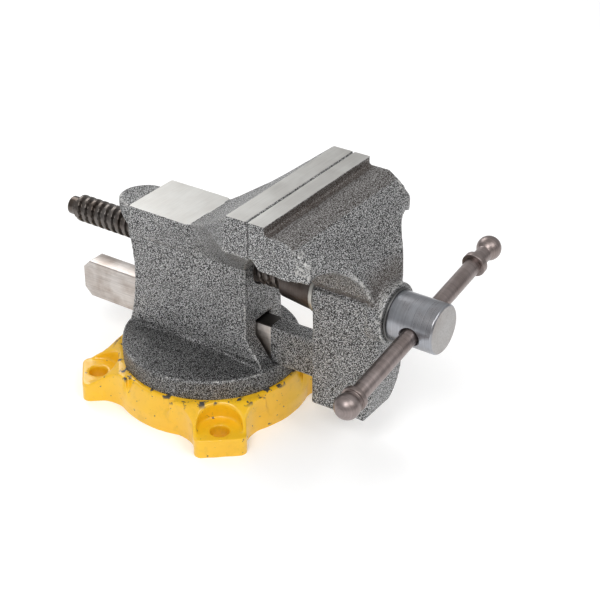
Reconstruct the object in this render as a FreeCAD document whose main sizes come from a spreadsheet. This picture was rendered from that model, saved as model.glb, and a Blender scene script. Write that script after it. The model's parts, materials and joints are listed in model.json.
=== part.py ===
import FreeCAD, Part
import os
import re
import Sketcher

# Bench vise with a swivel base.  Millimetres, +Z up.
# The origin is the swivel axis on the bench; the screw runs along Y and the handle is at -Y.
# Castings and screw parts are drawn from the plane where the closed jaws meet (Y = 0 there),
# and each body's Placement carries that plane to its place behind or ahead of the swivel axis.

Vec = FreeCAD.Vector
SHEET = "Sizes"

# alias, value, what it is
SIZES = [
    ("jaw_width", 101.6, "width of both jaws, the nominal size"),
    ("jaw_setback", 63.4, "closed jaw plane ahead of the swivel axis"),
    ("jaw_top", 147.5, "top of the jaws above the bench"),
    ("jaw_land", 10.6, "front-to-back depth of each milled jaw top"),
    ("jaw_gap", 0.1, "light showing between the closed jaws"),
    ("screw_height", 88.5, "screw axis above the bench"),
    ("land_step", 4.9, "drop from the moving jaw top to its ledge"),
    ("ledge_end", 23.4, "front edge of the moving jaw's ledge"),
    ("ledge_lip", 29.5, "foot of the short slope in front of the ledge"),
    ("ledge_lip_z", 138.6, "its height"),
    ("horn_reach", 38.1, "how far the ends of the moving jaw reach forward"),
    ("horn_under", 121.0, "underside of the jaw ends"),
    ("flank_half", 35.0, "a point on the side of the hood, off centre"),
    ("flank_front", 41.5, "how far forward it is"),
    ("brow_half", 23.0, "where the side of the hood turns into its front, off centre"),
    ("brow_front", 49.5, "how far forward that is"),
    ("cheek_half", 13.0, "a point on the front of the hood, off centre"),
    ("cheek_front", 55.6, "how far forward it is"),
    ("hood_front", 58.0, "front of the hood's plan on the centre line, and of the slab under the boss"),
    ("hood_brow", 45.8, "a point half way down the rounded front of the hood"),
    ("hood_brow_z", 123.3, "its height"),
    ("hood_foot", 56.0, "front of the hood at the boss"),
    ("hood_foot_z", 99.0, "its height"),
    ("face_pad", 3.0, "thickness of the block that carries the gripping face"),
    ("jaw_face_low", 126.5, "lower edge of the gripping faces"),
    ("arch_start", 44.0, "where the arch under each horn begins, off centre"),
    ("arch_start_z", 124.5, "its height there"),
    ("arch_mid", 24.5, "a point on the arch, off centre"),
    ("arch_mid_z", 117.0, "its height"),
    ("neck_half", 17.0, "half width at the foot of the arch"),
    ("neck_z", 103.0, "height of the foot of the arch"),
    ("scoop_half", 11.6, "half width of the scooped flank just above the parting line"),
    ("slab_half", 14.0, "half width of the moving jaw's lower slab"),
    ("crease_z", 96.0, "parting line along both castings"),
    ("slab_rear", 15.8, "rear face of the slab, ahead of the jaw plane"),
    ("slab_bottom", 23.0, "underside of the slab"),
    ("nose_low", 50.0, "front of the slab at its underside"),
    ("nose_mid", 54.8, "front of the slab a little higher"),
    ("nose_mid_z", 38.0, "height of that point"),
    ("nose_high", 56.9, "front of the slab below the boss"),
    ("nose_high_z", 51.0, "height of that point"),
    ("boss_radius", 17.5, "boss round the screw head"),
    ("boss_front", 60.5, "front face of the boss"),
    ("boss_length", 9.5, "length of the boss"),
    ("rear_boss_radius", 13.5, "boss behind the moving jaw's slab"),
    ("rear_boss_end", 15.0, "rear face of that boss"),
    ("bar_half", 6.0, "half thickness of the slide bar"),
    ("bar_low", 33.0, "underside of the slide bar"),
    ("bar_high", 57.0, "top of the slide bar"),
    ("bar_end", 155.5, "rear end of the slide bar"),
    ("bar_play", 0.15, "clearance all round the slide bar"),
    ("slot_mouth_half", 7.6, "half width of the slot's cast mouth"),
    ("slot_mouth_top", 58.6, "top of that mouth"),
    ("slot_mouth_depth", 10.0, "how deep the mouth goes"),
    ("column_half", 17.8, "half width of the fixed body"),
    ("column_front", 26.0, "front face of the fixed body"),
    ("column_rear", 108.0, "rear face at the parting line"),
    ("waist_rear", 105.2, "rear face at the waist"),
    ("waist_z", 66.0, "height of the waist"),
    ("anvil_front", 63.3, "front edge of the anvil"),
    ("anvil_rear", 104.6, "rear edge of the anvil"),
    ("anvil_top", 113.7, "anvil face above the bench"),
    ("anvil_half", 19.8, "half width of the anvil"),
    ("anvil_proud", 0.4, "how far the milled anvil stands above the casting in front of it"),
    ("horn_top", 110.5, "top of the rounded tail behind the anvil"),
    ("horn_lip", 2.4, "thickness of the tail at its end"),
    ("horn_end", 123.8, "rear end of the tail"),
    ("horn_half", 15.0, "half width of the tail"),
    ("jaw_shoulder", 15.0, "where the fixed jaw starts to narrow"),
    ("back_one", 20.0, "first turn of the slope behind the fixed jaw"),
    ("back_one_z", 142.0, "its height"),
    ("back_two", 41.0, "second turn of that slope"),
    ("back_two_z", 126.0, "its height"),
    ("foot_flare", 4.5, "how far the front of the body leans out to its foot"),
    ("foot_flare_z", 44.0, "height where that lean is greatest"),
    ("foot_turn_z", 49.5, "height where the front starts to flare"),
    ("foot_rise_z", 41.0, "height where the rear starts to rise from the foot"),
    ("disc_radius", 52.5, "round foot of the fixed body"),
    ("disc_rim", 33.5, "top of the foot at its rim"),
    ("disc_crown", 38.0, "top of the foot beside the body"),
    ("base_height", 21.6, "height of the swivel base"),
    ("base_foot_radius", 58.4, "base ring at the bench"),
    ("base_top_radius", 54.8, "base ring at its top"),
    ("base_well_radius", 46.0, "hollow under the base"),
    ("base_well_depth", 10.0, "depth of that hollow"),
    ("base_skirt", 8.0, "height of the upright part of the base ring"),
    ("web_underside", 13.5, "underside of the base's middle web"),
    ("clamp_well_radius", 24.0, "well for the clamp plate"),
    ("spigot_radius", 15.0, "spigot that centres the body on the base"),
    ("spigot_depth", 4.0, "depth of the spigot"),
    ("bolt_play", 0.6, "radial clearance of the bolt in the base"),
    ("spigot_play", 0.08, "radial running clearance of the spigot"),
    ("lug_turn", 39.9, "direction of the first lug from +X, degrees"),
    ("lug_half", 15.0, "half width of a lug"),
    ("lug_reach", 77.0, "end of a lug from the swivel axis"),
    ("lug_corner", 4.6, "rounding of a lug's corners"),
    ("lug_flare", 8.0, "reach of the fillet between a lug and the ring"),
    ("lug_floor", 11.3, "top of a lug at its bolt hole"),
    ("hole_circle", 67.6, "bench bolt holes from the swivel axis"),
    ("hole_radius", 5.4, "bench bolt hole"),
    ("spot_radius", 12.8, "flat seat cut round each bolt hole"),
    ("thread_radius", 8.0, "screw thread at its crests"),
    ("thread_play", 0.8, "space round the thread in the body"),
    ("root_radius", 5.7, "screw thread at its roots"),
    ("pitch", 5.08, "thread pitch, five to the inch"),
    ("thread_start", 9.0, "front end of the thread"),
    ("thread_end", 160.0, "rear end of the thread"),
    ("stub_end", 165.0, "rear end of the screw's plain tip"),
    ("shank_radius", 9.0, "plain shank that turns in the moving jaw"),
    ("shank_play", 0.08, "radial running clearance of the shank"),
    ("head_radius", 14.0, "screw head"),
    ("head_rear", 62.0, "rear face of the screw head"),
    ("head_front", 89.1, "front face of the screw head"),
    ("handle_y", 75.9, "handle hole ahead of the jaw plane"),
    ("handle_tilt", 9.05, "tilt of the handle as it rests, degrees"),
    ("handle_radius", 4.75, "handle bar"),
    ("handle_play", 0.08, "radial clearance of the handle in its hole"),
    ("handle_half", 58.0, "half length of the bar between the knobs"),
    ("tenon_radius", 3.0, "reduced ends of the bar inside the knobs"),
    ("tenon_length", 11.0, "length of those ends"),
    ("knob_radius", 7.0, "collar and ball of each knob"),
    ("knob_neck", 4.9, "waist of each knob"),
    ("knob_lip", 2.5, "how far the long knob's collar laps over the bar"),
    ("knob_waist", 5.65, "from the bar's shoulder to the start of the long knob's waist"),
    ("knob_length", 22.8, "length of the long knob beyond the bar's shoulder"),
    ("short_half", 65.4, "half length of the bar at the short knob"),
    ("short_collar", 2.8, "width of the short knob's collar"),
    ("short_groove", 0.9, "width of the groove between that collar and the ball"),
    ("collar_radius", 12.9, "tapered thrust collar behind the moving jaw, at its front"),
    ("collar_tail", 10.8, "its radius at its rear"),
    ("collar_front", 12.6, "front face of the collar, ahead of the jaw plane"),
    ("collar_rear", -8.5, "rear face of the collar, behind the jaw plane"),
    ("washer_radius", 13.5, "washer between the collar and the moving jaw"),
    ("pin_radius", 1.5, "roll pin through the collar"),
    ("pin_inset", 0.6, "how far the pin's ends stop short of the collar, both together"),
    ("pin_play", 0.02, "radial clearance of pressed and pinned pieces"),
    ("nut_radius", 13.9, "screw nut"),
    ("nut_front", 64.0, "front face of the nut"),
    ("nut_rear", 101.0, "rear face of the nut"),
    ("nut_play", 0.05, "radial clearance of the nut, its screw and the swivel bolt in the fixed body"),
    ("nut_bore", 8.08, "nut bore, clear of the thread crests"),
    ("nut_dimple", 3.0, "depth of the nut's dimple for that screw"),
    ("nut_screw_y", 82.0, "retaining screw behind the jaw plane"),
    ("nut_screw_radius", 3.0, "retaining screw"),
    ("nut_screw_head", 5.0, "radius of its head"),
    ("nut_screw_high", 3.2, "height of its head"),
    ("nut_screw_slot", 1.3, "width and depth of its slot"),
    ("bolt_radius", 6.0, "swivel bolt"),
    ("washer_play", 0.3, "play of the lock washer on the bolt"),
    ("washer_width", 4.0, "from the bolt's side to the lock washer's rim"),
    ("washer_split", 1.8, "gap in the lock washer"),
    ("bolt_top", 30.0, "top of the swivel bolt"),
    ("bolt_head_flats", 19.0, "swivel bolt head across flats"),
    ("bolt_head_low", 0.8, "underside of the bolt head"),
    ("bolt_head_high", 8.3, "top of the bolt head"),
    ("plate_low", 10.5, "underside of the clamp plate"),
    ("plate_radius", 20.0, "clamp plate"),
]

doc = FreeCAD.newDocument("BenchVise")
sheet = doc.addObject("Spreadsheet::Sheet", SHEET)
for row, (alias, value, note) in enumerate(SIZES, start=1):
    sheet.set(f"A{row}", note)
    sheet.set(f"B{row}", str(value))
    sheet.setAlias(f"B{row}", alias)
doc.recompute()
ALIASES = {alias for alias, value, note in SIZES}


def bound(text):
    """An expression in sheet aliases, written so that any object can use it."""
    return re.sub(r"[a-z_]+", lambda m: f"{SHEET}.{m[0]}" if m[0] in ALIASES else m[0], str(text))


def size(text):
    """The number that an expression in sheet aliases stands for."""
    return float(sheet.evalExpression(bound(text)))


def new_body(name, y="0", z="0", turn=None, spin=None):
    """A body whose Placement is bound to the sheet.  turn is about Z, spin is about Y, in degrees."""
    body = doc.addObject("PartDesign::Body", name)
    body.Label = name
    if turn or spin:
        axis = Vec(0, 0, 1) if turn else Vec(0, 1, 0)
        body.Placement = FreeCAD.Placement(Vec(), FreeCAD.Rotation(axis, 1))
        body.setExpression("Placement.Rotation.Angle", f"({bound(turn or spin)}) * 1 deg")
    body.setExpression("Placement.Base.y", f"({bound(y)}) * 1 mm")
    body.setExpression("Placement.Base.z", f"({bound(z)}) * 1 mm")
    return body


def new_sketch(body, role, height):
    """An empty sketch on one of the body's own planes, moved along that plane's normal."""
    sketch = body.newObject("Sketcher::SketchObject", f"{body.Name}_sketch")
    plane = next(f for f in body.Origin.OriginFeatures if f.Role == role)
    sketch.AttachmentSupport = (plane, [""])
    sketch.MapMode = "FlatFace"
    sketch.AttachmentOffset = FreeCAD.Placement(Vec(0, 0, size(height)), FreeCAD.Rotation())
    sketch.setExpression("AttachmentOffset.Base.z", f"({bound(height)}) * 1 mm")
    return sketch


def fix(sketch, index, end, u, v):
    """Ties one point of the sketch to two expressions."""
    for kind, axis, text in (("DistanceX", -2, u), ("DistanceY", -1, v)):
        value = size(text)
        if abs(value) < 1e-9:
            sketch.addConstraint(Sketcher.Constraint("PointOnObject", index, end, axis))
            continue
        number = sketch.addConstraint(Sketcher.Constraint(kind, -1, 1, index, end, value))
        sketch.setExpression(f"Constraints[{number}]", f"({bound(text)}) * 1 mm")


def outline(body, role, path, height="0"):
    """A closed sketch.  A point is (u, v); (u, v, via_u, via_v) starts an arc through the via point."""
    sketch = new_sketch(body, role, height)
    spots = [Vec(size(p[0]), size(p[1]), 0) for p in path]
    ends = []
    for i, point in enumerate(path):
        first, last = spots[i], spots[(i + 1) % len(path)]
        if len(point) == 2:
            sketch.addGeometry(Part.LineSegment(first, last), False)
            ends.append((1, 2))
            continue
        via = Vec(size(point[2]), size(point[3]), 0)
        forward = (via - first).cross(last - first).z > 0
        circle = Part.Arc(first, via, last) if forward else Part.Arc(last, via, first)
        sketch.addGeometry(circle, False)
        ends.append((1, 2) if forward else (2, 1))
    for i, (start, stop) in enumerate(ends):
        following = (i + 1) % len(ends)
        sketch.addConstraint(Sketcher.Constraint("Coincident", i, stop, following, ends[following][0]))
    for i, point in enumerate(path):
        fix(sketch, i, ends[i][0], point[0], point[1])
        if len(point) == 4:
            mark = sketch.addGeometry(Part.Point(Vec(size(point[2]), size(point[3]), 0)), True)
            sketch.addConstraint(Sketcher.Constraint("PointOnObject", mark, 1, i))
            fix(sketch, mark, 1, point[2], point[3])
    return sketch


def ring(body, role, u, v, radius, height="0"):
    """A sketch of one circle."""
    sketch = new_sketch(body, role, height)
    sketch.addGeometry(Part.Circle(Vec(size(u), size(v), 0), Vec(0, 0, 1), size(radius)), False)
    fix(sketch, 0, 3, u, v)
    number = sketch.addConstraint(Sketcher.Constraint("Radius", 0, size(radius)))
    sketch.setExpression(f"Constraints[{number}]", f"({bound(radius)}) * 1 mm")
    return sketch


def feature(body, kind, sketch, length=None, both=False, back=False):
    """A pad or pocket.  both spreads it evenly about the sketch, back turns it round."""
    before = body.Shape.Volume if body.Tip else 0.0
    made = body.newObject(f"PartDesign::{kind}", f"{body.Name}_{kind}")
    made.Profile = sketch
    made.SideType = "Symmetric" if both else "One side"
    made.Reversed = back
    if length is None:
        made.Type = "ThroughAll"
    else:
        made.setExpression("Length", f"({bound(length)}) * 1 mm")
    doc.recompute()
    changed = body.Shape.Volume - before
    if abs(changed) < 1e-3 or (changed > 0) != (kind == "Pad"):
        raise ValueError(f"{made.Name} changed the volume by {changed}")
    return made


def pad(body, sketch, length, both=False, back=False):
    return feature(body, "Pad", sketch, length, both, back)


def pocket(body, sketch, length=None, both=False, back=False):
    return feature(body, "Pocket", sketch, length, both, back)


def turned(body, sketch, axis, kind="Revolution"):
    """A full turn of the sketch about its own H_Axis or V_Axis."""
    made = body.newObject(f"PartDesign::{kind}", f"{body.Name}_{kind}")
    made.Profile = sketch
    made.ReferenceAxis = (sketch, [axis])
    made.Angle = 360
    doc.recompute()
    return made


def mirrored(path):
    """The same outline on the other side of the sketch's vertical axis."""
    return [tuple(f"-({text})" if i % 2 == 0 else text for i, text in enumerate(point)) for point in path]


def round_bar(body, stations):
    """A turned piece along Y from (y, radius) stations, in order."""
    path = [(stations[0][0], "0")] + list(stations) + [(stations[-1][0], "0")]
    return turned(body, outline(body, "YZ_Plane", path), "H_Axis")


def swivel_base():
    """Four-lugged cast base: a hollow ring with a middle web, lugs with flat seats for the bench bolts."""
    body = new_body("swivel_base", turn="lug_turn")
    section = [
        ("bolt_radius + bolt_play", "web_underside"), ("clamp_well_radius", "web_underside"),
        ("clamp_well_radius", "base_well_depth"), ("base_well_radius", "base_well_depth"),
        ("base_well_radius", "0"), ("base_foot_radius", "0"), ("base_foot_radius", "base_skirt"),
        ("base_top_radius", "base_height"), ("spigot_radius + spigot_play", "base_height"),
        ("spigot_radius + spigot_play", "base_height - spigot_depth"),
        ("bolt_radius + bolt_play", "base_height - spigot_depth"),
    ]
    turned(body, outline(body, "XZ_Plane", section), "V_Axis")
    root_x, root_y = "0.87 * base_foot_radius", "0.49 * base_foot_radius"
    side_x, side_y = "base_foot_radius + 0.8 * lug_flare", "lug_half"
    bend_x, bend_y = "base_foot_radius", "lug_half + 0.4 * lug_flare"
    end_x, end_y = "lug_reach - lug_corner", "lug_half - lug_corner"
    turn_x, turn_y = "lug_reach - 0.293 * lug_corner", "lug_half - 0.293 * lug_corner"
    plan = [
        (root_x, f"-{root_y}", bend_x, f"-({bend_y})"), (side_x, f"-{side_y}"),
        (end_x, f"-{side_y}", turn_x, f"-({turn_y})"), ("lug_reach", f"-({end_y})"),
        ("lug_reach", end_y, turn_x, turn_y), (end_x, side_y), (side_x, side_y, bend_x, bend_y),
        (root_x, root_y),
    ]
    lug = pad(body, outline(body, "XY_Plane", plan), "base_height")
    slope = [
        ("base_top_radius", "base_height"), ("lug_reach - lug_corner", "lug_floor"),
        ("lug_reach + 1", "lug_floor"),
        ("lug_reach + 1", "base_height + 1"), ("base_top_radius", "base_height + 1"),
    ]
    bevel = pocket(body, outline(body, "XZ_Plane", slope), "4 * lug_half", both=True)
    seat_depth = "base_height - lug_floor"
    seat = pocket(body, ring(body, "XY_Plane", "hole_circle", "0", "spot_radius", "base_height"), seat_depth)
    hole = pocket(body, ring(body, "XY_Plane", "hole_circle", "0", "hole_radius", "lug_floor"), "lug_floor")
    lugs = body.newObject("PartDesign::PolarPattern", "lugs")
    lugs.Originals = [lug, bevel, seat, hole]
    lugs.Axis = (next(f for f in body.Origin.OriginFeatures if f.Role == "Z_Axis"), [""])
    lugs.Angle = 360
    lugs.Occurrences = 4
    body.Tip = lugs
    return body


def fixed_body():
    """Rear casting: round foot, waisted column, fixed jaw, anvil and rounded tail, all one piece."""
    body = new_body("fixed_body", y="-jaw_setback")
    foot_front, foot_rear = "jaw_setback - disc_radius + 2.5", "jaw_setback + disc_radius - 2.5"
    column = [
        ("column_front", "crease_z + 2"),
        ("column_front", "foot_turn_z", "column_front - foot_flare", "foot_flare_z"),
        (foot_front, "disc_rim"), (foot_front, "base_height + 2"),
        (foot_rear, "base_height + 2"), (f"{foot_rear} - 1.5", "disc_rim - 3"),
        ("column_rear + 1", "foot_rise_z", "waist_rear", "waist_z"), ("column_rear", "crease_z"),
        ("column_rear", "crease_z + 10"), ("anvil_front", "crease_z + 10"),
    ]
    pad(body, outline(body, "YZ_Plane", column), "2 * column_half", both=True)
    jaw_low = [
        ("-column_half", "column_front"), ("column_half", "column_front"),
        ("column_half", "column_front + 8"),
        ("column_half", "anvil_front"), ("-column_half", "anvil_front"),
        ("-column_half", "column_front + 8"),
    ]
    jaw_high = [
        ("-jaw_width / 2", "0"), ("jaw_width / 2", "0"), ("jaw_width / 2", "jaw_shoulder"),
        ("anvil_half", "anvil_front"), ("-anvil_half", "anvil_front"), ("-jaw_width / 2", "jaw_shoulder"),
    ]
    flank = body.newObject("PartDesign::AdditiveLoft", "jaw_flank")
    flank.Profile = outline(body, "XY_Plane", jaw_low, "crease_z")
    flank.Sections = [outline(body, "XY_Plane", jaw_high, "jaw_face_low")]
    flank.Ruled = True
    doc.recompute()
    pad(body, outline(body, "XY_Plane", jaw_high, "jaw_face_low"), "jaw_top - jaw_face_low")
    shelf, beyond = "anvil_top - anvil_proud", "horn_end + 1"
    above = [
        ("jaw_land", "jaw_top + 1"), ("jaw_land", "jaw_top"), ("back_one", "back_one_z"),
        ("back_two", "back_two_z"),
        ("anvil_front - 1", shelf), (beyond, shelf), (beyond, "jaw_top + 1"),
    ]
    pocket(body, outline(body, "YZ_Plane", above), "jaw_width + 2", both=True)
    anvil = [
        ("-anvil_half", "anvil_front"), ("anvil_half", "anvil_front"),
        ("anvil_half", "anvil_rear"), ("-anvil_half", "anvil_rear"),
    ]
    pad(body, outline(body, "XY_Plane", anvil, "crease_z"), "anvil_top - crease_z")
    tail = [
        ("-horn_half", "anvil_rear - 8"), ("horn_half", "anvil_rear - 8"),
        ("horn_half", "anvil_rear + 4", "0", "horn_end"), ("-horn_half", "anvil_rear + 4"),
    ]
    pad(body, outline(body, "XY_Plane", tail, "crease_z"), "horn_top - crease_z")
    under_tail = [
        ("column_rear", "crease_z"), (beyond, "horn_top - horn_lip"), (beyond, "crease_z - 1"),
        ("column_rear", "crease_z - 1"),
    ]
    pocket(body, outline(body, "YZ_Plane", under_tail), "jaw_width", both=True)
    foot = [
        ("0", "base_height"), ("disc_radius", "base_height"), ("disc_radius", "disc_rim"),
        ("column_half", "disc_crown"), ("0", "disc_crown"),
    ]
    turned(body, outline(body, "XZ_Plane", foot, "-jaw_setback"), "V_Axis")
    spigot = ring(body, "XY_Plane", "0", "jaw_setback", "spigot_radius", "base_height")
    pad(body, spigot, "spigot_depth", back=True)
    slot = [
        ("-bar_half - bar_play", "bar_low - bar_play"), ("bar_half + bar_play", "bar_low - bar_play"),
        ("bar_half + bar_play", "bar_high + bar_play"), ("-bar_half - bar_play", "bar_high + bar_play"),
    ]
    pocket(body, outline(body, "XZ_Plane", slot), "4 * column_rear", both=True)
    mouth = [
        ("column_front - 12", "bar_low - bar_play"),
        ("column_front + slot_mouth_depth", "bar_low - bar_play"),
        ("column_front + slot_mouth_depth", "slot_mouth_top"), ("column_front - 12", "slot_mouth_top"),
    ]
    pocket(body, outline(body, "YZ_Plane", mouth), "2 * slot_mouth_half", both=True)
    tunnel = ring(body, "XZ_Plane", "0", "screw_height", "thread_radius + thread_play")
    pocket(body, tunnel, "4 * column_rear", both=True)
    nut_seat = ring(body, "XZ_Plane", "0", "screw_height", "nut_radius + nut_play", "-nut_front")
    pocket(body, nut_seat, "column_rear")
    pin_hole = ring(body, "YZ_Plane", "nut_screw_y", "screw_height", "nut_screw_radius + nut_play")
    pocket(body, pin_hole, "2 * column_half", back=True)
    spigot_low = "base_height - spigot_depth"
    bolt_hole = ring(body, "XY_Plane", "0", "jaw_setback", "bolt_radius + nut_play", spigot_low)
    pocket(body, bolt_hole, "bolt_top + 1 - base_height + spigot_depth", back=True)
    return body


def moving_jaw():
    """Front casting: jaw, hood, boss and slab, with the slide bar cast on behind."""
    body = new_body("moving_jaw", y="-jaw_setback")
    side = [
        ("-jaw_gap", "jaw_top"), ("-jaw_land", "jaw_top"), ("-jaw_land", "jaw_top - land_step"),
        ("-ledge_end", "jaw_top - land_step"), ("-ledge_lip", "ledge_lip_z", "-hood_brow", "hood_brow_z"),
        ("-hood_foot", "hood_foot_z"), ("-hood_front", "screw_height - boss_radius"),
        ("-nose_high", "nose_high_z", "-nose_mid", "nose_mid_z"), ("-nose_low", "slab_bottom"),
        ("-slab_rear", "slab_bottom"), ("-slab_rear", "crease_z + 6"), ("-2.5 * face_pad", "horn_under"),
        ("-face_pad", "jaw_face_low"), ("-jaw_gap", "jaw_face_low"),
    ]
    pad(body, outline(body, "YZ_Plane", side), "jaw_width", both=True)
    edge = "jaw_width / 2"
    arch = [
        (f"{edge} + 1", "horn_under"), (edge, "horn_under"),
        ("arch_start", "arch_start_z", "arch_mid", "arch_mid_z"), ("neck_half", "neck_z"),
        ("scoop_half", "crease_z + 0.6"), ("slab_half", "crease_z"),
        ("slab_half", "slab_bottom - 1"), (f"{edge} + 1", "slab_bottom - 1"),
    ]
    pocket(body, outline(body, "XZ_Plane", arch), "4 * jaw_width", both=True)
    pocket(body, outline(body, "XZ_Plane", mirrored(arch)), "4 * jaw_width", both=True)
    plan = [
        (f"{edge} + 1", "-horn_reach"), (edge, "-horn_reach", "flank_half", "-flank_front"),
        ("brow_half", "-brow_front", "cheek_half", "-cheek_front"), ("0", "-hood_front"),
        ("0", "-hood_front - 9"), (f"{edge} + 1", "-hood_front - 9"),
    ]
    pocket(body, outline(body, "XY_Plane", plan, "crease_z"), "jaw_top - crease_z", back=True)
    pocket(body, outline(body, "XY_Plane", mirrored(plan), "crease_z"), "jaw_top - crease_z", back=True)
    boss_root, rear_root = "boss_front - boss_length", "slab_rear + 4"
    boss_ring = ring(body, "XZ_Plane", "0", "screw_height", "boss_radius", boss_root)
    pad(body, boss_ring, "boss_length")
    rear_boss = ring(body, "XZ_Plane", "0", "screw_height", "rear_boss_radius", "rear_boss_end")
    pad(body, rear_boss, f"{rear_root} - rear_boss_end")
    bar = [
        ("-bar_half", "bar_low"), ("bar_half", "bar_low"), ("bar_half", "bar_high"),
        ("-bar_half", "bar_high"),
    ]
    bar_root = "slab_rear + 10"
    pad(body, outline(body, "XZ_Plane", bar, bar_root), f"bar_end + {bar_root}", back=True)
    tip = [
        ("bar_end - 5", "bar_high"), ("bar_end + 1", "bar_high"), ("bar_end + 1", "bar_low"),
        ("bar_end - 5", "bar_low"), ("bar_end", "bar_low + 5"), ("bar_end", "bar_high - 5"),
    ]
    pocket(body, outline(body, "YZ_Plane", tip), "4 * bar_half", both=True)
    bore = ring(body, "XZ_Plane", "0", "screw_height", "shank_radius + shank_play")
    pocket(body, bore, "4 * jaw_width", both=True)
    return body


def pin_ring(body, radius):
    """The circle of the pin that crosses the collar and the shank."""
    return ring(body, "XY_Plane", "0", "-(collar_front + collar_rear) / 2", radius)


def lead_screw():
    """Turned screw: cross-drilled head, plain shank, thread drawn as rings of the same pitch, plain tip."""
    body = new_body("lead_screw", y="-jaw_setback", z="screw_height", spin="-handle_tilt")
    turns = int((size("thread_end") - size("thread_start")) / size("pitch"))
    stations = [
        ("-head_front", "head_radius - 0.8"), ("-head_front + 0.8", "head_radius"),
        ("-head_rear", "head_radius"),
        ("-head_rear", "shank_radius"), ("thread_start - 1.5", "shank_radius"),
        ("thread_start", "root_radius"),
    ]
    for turn in range(turns):
        start = f"thread_start + pitch * {turn}"
        stations += [
            (f"{start} + 0.3 * pitch", "root_radius"), (f"{start} + 0.5 * pitch", "thread_radius"),
            (f"{start} + 0.8 * pitch", "thread_radius"), (f"{start} + pitch", "root_radius"),
        ]
    stations += [("stub_end - 1", "root_radius"), ("stub_end", "root_radius - 1")]
    round_bar(body, stations)
    cross = ring(body, "YZ_Plane", "-handle_y", "0", "handle_radius + handle_play")
    pocket(body, cross, "4 * head_radius", both=True)
    pocket(body, pin_ring(body, "pin_radius + pin_play"), "4 * head_radius", both=True)
    return body


def washer(name, front, rear, inner, outer):
    """A plain ring round the screw axis."""
    body = new_body(name, y="-jaw_setback", z="screw_height")
    section = [(front, inner), (front, outer), (rear, outer), (rear, inner)]
    turned(body, outline(body, "YZ_Plane", section), "H_Axis")
    return body


def thrust_collar():
    """Tapered collar pinned to the shank, which draws the moving jaw back when the screw is undone."""
    body = new_body("thrust_collar", y="-jaw_setback", z="screw_height", spin="-handle_tilt")
    inner = "shank_radius + pin_play"
    section = [
        ("-collar_front", inner), ("-collar_front", "collar_radius"), ("-collar_rear", "collar_tail"),
        ("-collar_rear", inner),
    ]
    turned(body, outline(body, "YZ_Plane", section), "H_Axis")
    pocket(body, pin_ring(body, "pin_radius + pin_play"), "4 * head_radius", both=True)
    return body


def collar_pin():
    """Roll pin across the collar and the shank."""
    body = new_body("collar_pin", y="-jaw_setback", z="screw_height", spin="-handle_tilt")
    pad(body, pin_ring(body, "pin_radius"), "collar_radius + collar_tail - pin_inset", both=True)
    return body


def spindle_nut():
    """Round nut let into the fixed body from behind, with a dimple for its retaining screw."""
    body = new_body("spindle_nut", y="-jaw_setback", z="screw_height")
    section = [
        ("nut_front + nut_play", "nut_bore"), ("nut_front + nut_play", "nut_radius"),
        ("nut_rear", "nut_radius"), ("nut_rear", "nut_bore"),
    ]
    turned(body, outline(body, "YZ_Plane", section), "H_Axis")
    floor, width = "nut_radius - nut_dimple", "nut_screw_radius + nut_play"
    dimple = ring(body, "YZ_Plane", "nut_screw_y", "0", width, floor)
    pocket(body, dimple, "nut_radius", back=True)
    return body


def nut_screw():
    """Retaining screw through the right side of the body into the nut, with a slotted head."""
    body = new_body("nut_screw", y="-jaw_setback", z="screw_height")
    tip = "nut_radius - nut_dimple + 0.2"
    shank = ring(body, "YZ_Plane", "nut_screw_y", "0", "nut_screw_radius", tip)
    pad(body, shank, "column_half - nut_radius + nut_dimple - 0.2")
    pad(body, ring(body, "YZ_Plane", "nut_screw_y", "0", "nut_screw_head", "column_half"), "nut_screw_high")
    front, rear = "nut_screw_y - nut_screw_head - 1", "nut_screw_y + nut_screw_head + 1"
    slot = [
        (front, "-nut_screw_slot / 2"), (rear, "-nut_screw_slot / 2"),
        (rear, "nut_screw_slot / 2"), (front, "nut_screw_slot / 2"),
    ]
    pocket(body, outline(body, "YZ_Plane", slot, "column_half + nut_screw_high"), "nut_screw_slot")
    return body


def handle_bar():
    """Plain round bar that slides through the screw head, reduced at both ends for the knobs."""
    body = new_body("handle_bar", y="-jaw_setback - handle_y", z="screw_height", spin="-handle_tilt")
    left, right = "-short_half - tenon_length", "handle_half + tenon_length"
    section = [
        (left, "0"), (left, "tenon_radius"), ("-short_half", "tenon_radius"),
        ("-short_half", "handle_radius"),
        ("handle_half", "handle_radius"), ("handle_half", "tenon_radius"),
        (right, "tenon_radius"), (right, "0"),
    ]
    turned(body, outline(body, "XZ_Plane", section), "H_Axis")
    return body


def long_knob():
    """The knob on the right: a collar, a waist and a ball, pressed on the bar's reduced end."""
    body = new_body("handle_knob_right", y="-jaw_setback - handle_y", z="screw_height", spin="-handle_tilt")
    ball = "handle_half + knob_length - knob_radius"
    lip, waist = "handle_half + knob_lip / 2", "handle_half + knob_waist"
    start, bottom = "handle_half - knob_lip", "handle_half + tenon_length + 0.2"
    path = [
        (start, "knob_radius"), (lip, "knob_radius"), (lip, "knob_radius - 0.8", waist, "knob_neck - 0.3"),
        (f"{ball} - 5", "knob_neck", ball, "knob_radius"), (f"{ball} + knob_radius", "0"),
        (bottom, "0"), (bottom, "tenon_radius + pin_play"), ("handle_half", "tenon_radius + pin_play"),
        ("handle_half", "handle_radius + pin_play"), (start, "handle_radius + pin_play"),
    ]
    turned(body, outline(body, "XZ_Plane", path), "H_Axis")
    return body


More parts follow.
